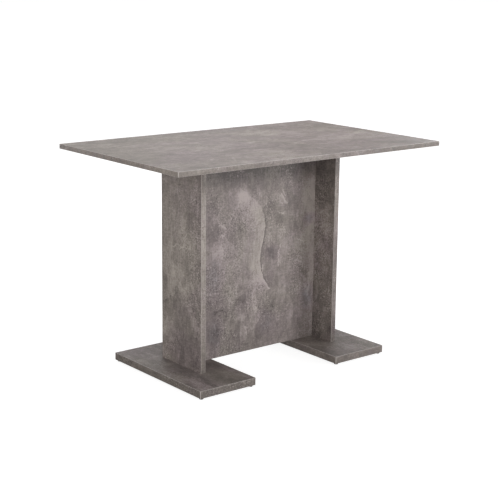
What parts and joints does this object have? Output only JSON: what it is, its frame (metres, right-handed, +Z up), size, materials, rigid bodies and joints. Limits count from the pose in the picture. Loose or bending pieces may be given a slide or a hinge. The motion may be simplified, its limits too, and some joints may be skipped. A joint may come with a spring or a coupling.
{
  "type": "extendable dining table",
  "caption": "Rectangular extendable dining table on a pedestal of uprights, a web panel and base plates, with pull-out bearers and loose end leaves kept behind the web.",
  "frame": {"origin": "on the floor, below the middle of the top", "axes": "+X along the length of the top, towards the right-hand end; +Y from front to back, towards the side where the leaves are kept; +Z up"},
  "size_m": [1.1, 0.676, 0.758],
  "materials": {
    "stone_decor_board": "melamine-faced chipboard with a matt brown-grey concrete decor",
    "edge_band": "1 mm edge band in the same decor, satin",
    "beech": "planed beech, clear lacquer",
    "zinc_steel": "zinc-plated",
    "black_plastic": "moulded, matt"
  },
  "bodies": {
    "frame": {"table_top": "stone_decor_board", "top_edging": "edge_band", "left_upright": "stone_decor_board", "right_upright": "stone_decor_board", "left_upright_edging": "edge_band", "right_upright_edging": "edge_band", "web_panel": "stone_decor_board", "web_edging": "edge_band", "left_base_plate": "stone_decor_board", "right_base_plate": "stone_decor_board", "left_base_edging": "edge_band", "right_base_edging": "edge_band", "glides": "black_plastic", "glide_nails": "zinc_steel", "dowels": "beech", "cam_bolts": "zinc_steel", "cam_housings": "zinc_steel", "confirmat_screws": "zinc_steel", "bearer_keepers": "zinc_steel", "keeper_screws": "zinc_steel", "leaf_rests": "zinc_steel", "leaf_rest_screws": "zinc_steel", "magnetic_catches": "black_plastic", "catch_screws": "zinc_steel"},
    "right_extension": {"right_front_bearer": "beech", "right_rear_bearer": "beech", "right_cross_rail": "beech", "right_rail_screws": "zinc_steel", "right_stop_pins": "zinc_steel"},
    "left_extension": {"left_front_bearer": "beech", "left_rear_bearer": "beech", "left_cross_rail": "beech", "left_rail_screws": "zinc_steel", "left_stop_pins": "zinc_steel"},
    "right_leaf_panel": {"right_leaf": "stone_decor_board", "right_leaf_edging": "edge_band", "right_leaf_pins": "beech", "right_strike_plate": "zinc_steel"},
    "left_leaf_panel": {"left_leaf": "stone_decor_board", "left_leaf_edging": "edge_band", "left_leaf_pins": "beech", "left_strike_plate": "zinc_steel"}
  },
  "joints": [
    {"name": "right_extension_slide", "type": "slide", "parent": "frame", "child": "right_extension", "axis": [1, 0, 0], "range_m": [0, 0.34]},
    {"name": "left_extension_slide", "type": "slide", "parent": "frame", "child": "left_extension", "axis": [-1, 0, 0], "range_m": [0, 0.34]},
    {"name": "right_leaf_lift_out", "type": "slide", "parent": "frame", "child": "right_leaf_panel", "axis": [0, 1, 0], "range_m": [0, 0.35]},
    {"name": "left_leaf_lift_out", "type": "slide", "parent": "frame", "child": "left_leaf_panel", "axis": [0, 1, 0], "range_m": [0, 0.35]}
  ]
}
